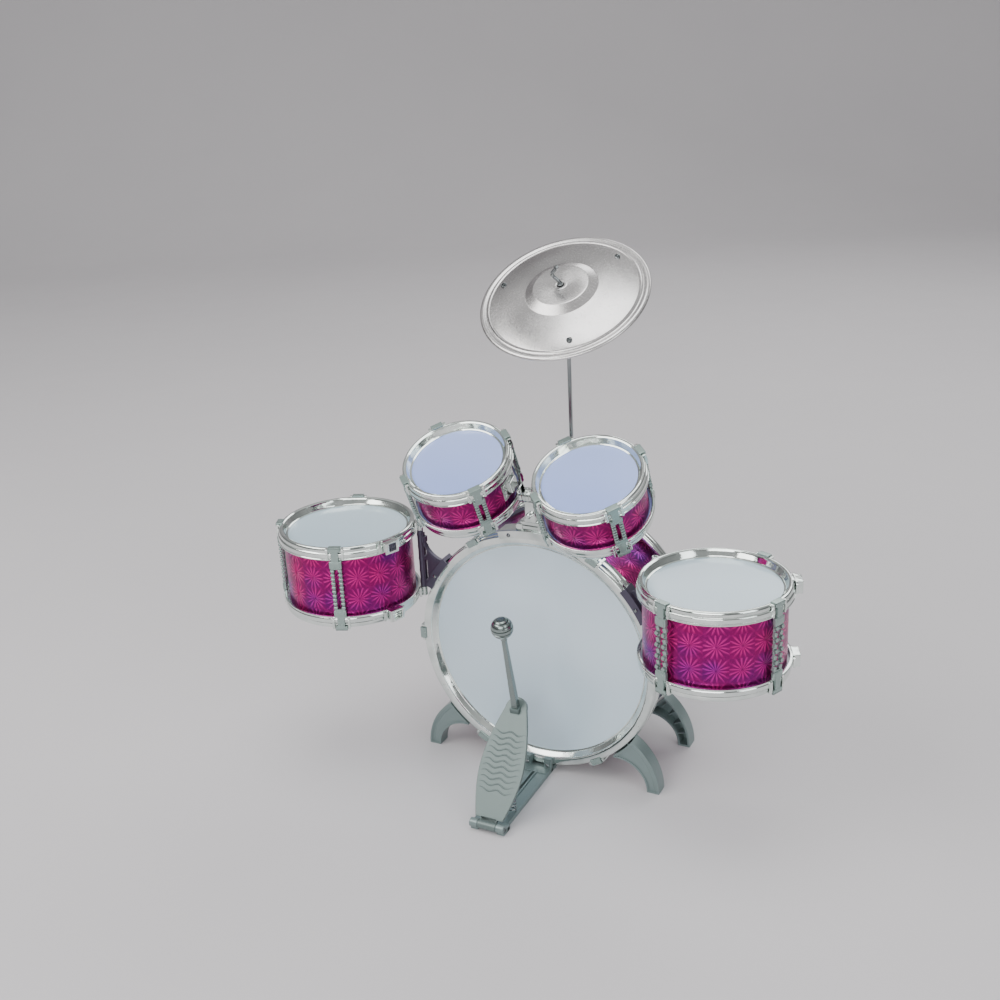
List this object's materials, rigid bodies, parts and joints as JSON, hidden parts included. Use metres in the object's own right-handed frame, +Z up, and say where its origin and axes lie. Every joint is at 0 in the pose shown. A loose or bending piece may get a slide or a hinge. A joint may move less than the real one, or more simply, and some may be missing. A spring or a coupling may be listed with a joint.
{
  "type": "junior drum kit",
  "caption": "Small jazz drum kit: a bass drum with a foot pedal carries hinged side toms, tilting upper toms and a tilted cymbal on a rod.",
  "frame": {"origin": "on the floor under the middle of the whole kit's box", "axes": "+X to the right as seen from the player, +Y from the player's pedal side to the back, +Z up; the bass drum's axis runs along Y"},
  "size_m": [0.659, 0.3662, 0.6428],
  "materials": {
    "lilac_film": "clear printed film",
    "pale_film": "clear film",
    "pink_foil": "holographic foil",
    "plated_hoop": "chrome plated",
    "plated_fittings": "chrome plated",
    "sage_lugs": "metallic grey-green",
    "sage_legs": "metallic grey-green",
    "sage_pedal": "metallic grey-green",
    "dark_bracket": "dark metallic",
    "cymbal_steel": "polished",
    "black_rubber": "matt",
    "steel_hardware": "polished"
  },
  "bodies": {
    "stand": {"bass_shell": "pink_foil", "bass_front_hoop": "plated_hoop", "bass_rear_hoop": "plated_hoop", "bass_front_head": "pale_film", "bass_rear_head": "pale_film", "bass_lugs": "sage_lugs", "leg_front_left": "sage_legs", "leg_front_right": "sage_legs", "leg_rear_left": "sage_legs", "leg_rear_right": "sage_legs", "pedal_base": "sage_pedal", "heel_pin": "steel_hardware", "pedal_spring": "steel_hardware", "tom_holder_base": "plated_fittings", "tom_holder_post": "plated_fittings", "tilt_pin": "steel_hardware", "clamp_screws": "steel_hardware", "cymbal_socket": "plated_fittings", "side_left_bracket": "dark_bracket", "side_left_pin": "steel_hardware", "side_right_bracket": "dark_bracket", "side_right_pin": "steel_hardware"},
    "pedal": {"footboard": "sage_pedal", "beater_shaft": "sage_pedal", "beater_ball": "sage_pedal"},
    "cymbal_stand": {"cymbal_rod": "steel_hardware", "rod_hook": "steel_hardware", "cymbal_washer": "black_rubber"},
    "cymbal": {"cymbal": "cymbal_steel", "cymbal_rivets": "steel_hardware"},
    "side_tom_left": {"side_left_clips": "plated_fittings", "side_left_shell": "pink_foil", "side_left_top_hoop": "plated_hoop", "side_left_bottom_hoop": "plated_hoop", "side_left_top_head": "pale_film", "side_left_bottom_head": "pale_film", "side_left_lugs": "sage_lugs"},
    "side_tom_right": {"side_right_clips": "plated_fittings", "side_right_shell": "pink_foil", "side_right_top_hoop": "plated_hoop", "side_right_bottom_hoop": "plated_hoop", "side_right_top_head": "pale_film", "side_right_bottom_head": "pale_film", "side_right_lugs": "sage_lugs"},
    "upper_tom_left": {"upper_left_mount": "plated_fittings", "upper_left_shell": "pink_foil", "upper_left_top_hoop": "plated_hoop", "upper_left_bottom_hoop": "plated_hoop", "upper_left_top_head": "lilac_film", "upper_left_bottom_head": "lilac_film", "upper_left_lugs": "sage_lugs"},
    "upper_tom_right": {"upper_right_mount": "plated_fittings", "upper_right_shell": "pink_foil", "upper_right_top_hoop": "plated_hoop", "upper_right_bottom_hoop": "plated_hoop", "upper_right_top_head": "lilac_film", "upper_right_bottom_head": "lilac_film", "upper_right_lugs": "sage_lugs"}
  },
  "joints": [
    {"name": "pedal_press", "type": "hinge", "parent": "stand", "child": "pedal", "pos_m": [0, -0.17735, 0.0085], "axis": [-1, 0, 0], "range_deg": [0, 20.9], "stiffness_Nm_per_rad": 0.35, "springref_deg": -25.78, "deforming": ["pedal_spring"]},
    {"name": "rod_turn", "type": "hinge", "parent": "stand", "child": "cymbal_stand", "pos_m": [0, 0.10065, 0.4], "axis": [0, 0, 1], "continuous": true},
    {"name": "cymbal_spin", "type": "hinge", "parent": "cymbal_stand", "child": "cymbal", "pos_m": [0, 0.09241, 0.588], "axis": [0, -0.515, 0.8572], "continuous": true},
    {"name": "side_tom_left_swing", "type": "hinge", "parent": "stand", "child": "side_tom_left", "pos_m": [-0.1567, -0.02317, 0.269], "axis": [0, 0, 1], "range_deg": [-15, 25]},
    {"name": "side_tom_right_swing", "type": "hinge", "parent": "stand", "child": "side_tom_right", "pos_m": [0.1567, -0.02317, 0.269], "axis": [0, 0, 1], "range_deg": [-25, 15]},
    {"name": "upper_tom_left_tilt", "type": "hinge", "parent": "stand", "child": "upper_tom_left", "pos_m": [0, -0.02134, 0.374], "axis": [1, 0, 0], "range_deg": [-15, 12]},
    {"name": "upper_tom_right_tilt", "type": "hinge", "parent": "stand", "child": "upper_tom_right", "pos_m": [0, -0.02134, 0.374], "axis": [1, 0, 0], "range_deg": [-15, 12]}
  ]
}
